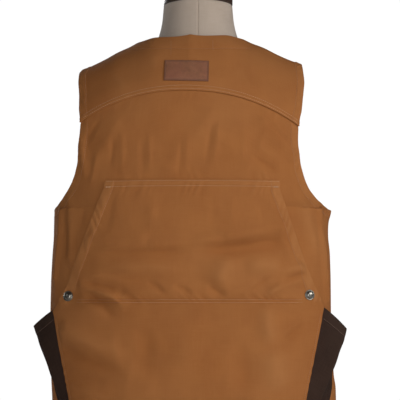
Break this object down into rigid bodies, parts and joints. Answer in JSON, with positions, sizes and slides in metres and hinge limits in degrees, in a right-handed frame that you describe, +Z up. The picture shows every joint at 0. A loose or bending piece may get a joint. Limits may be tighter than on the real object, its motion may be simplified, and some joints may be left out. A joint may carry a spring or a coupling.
{
  "type": "canvas game vest on a dress form",
  "caption": "Tan duck-canvas vest with a yoke, a large rear pouch on folded brown gussets and snap caps, worn by a limbless linen dress form with a neck cap on a pole and round base.",
  "frame": {"origin": "centre of the round base's underside, on the surface it stands on", "axes": "+Z up, +Y towards the vest's front, +X towards the wearer's right"},
  "size_m": [0.4623, 0.32, 0.9038],
  "materials": {
    "canvas": "matt",
    "gusset_twill": "matt",
    "patch_leather": "satin",
    "snap_metal": "aged",
    "form_linen": "matt",
    "dark_wood": "satin",
    "pole_steel": "brushed"
  },
  "bodies": {
    "root": {"back_panel": "canvas", "yoke": "canvas", "front_left": "canvas", "front_right": "canvas", "pouch": "canvas", "gusset_left": "gusset_twill", "gusset_right": "gusset_twill", "patch": "patch_leather", "pouch_snap_left": "snap_metal", "pouch_snap_right": "snap_metal", "front_snap_1": "snap_metal", "front_snap_2": "snap_metal", "front_snap_3": "snap_metal", "front_snap_4": "snap_metal", "front_snap_5": "snap_metal", "form_body": "form_linen", "neck_cap": "dark_wood", "pole": "pole_steel", "base": "dark_wood"}
  },
  "joints": []
}
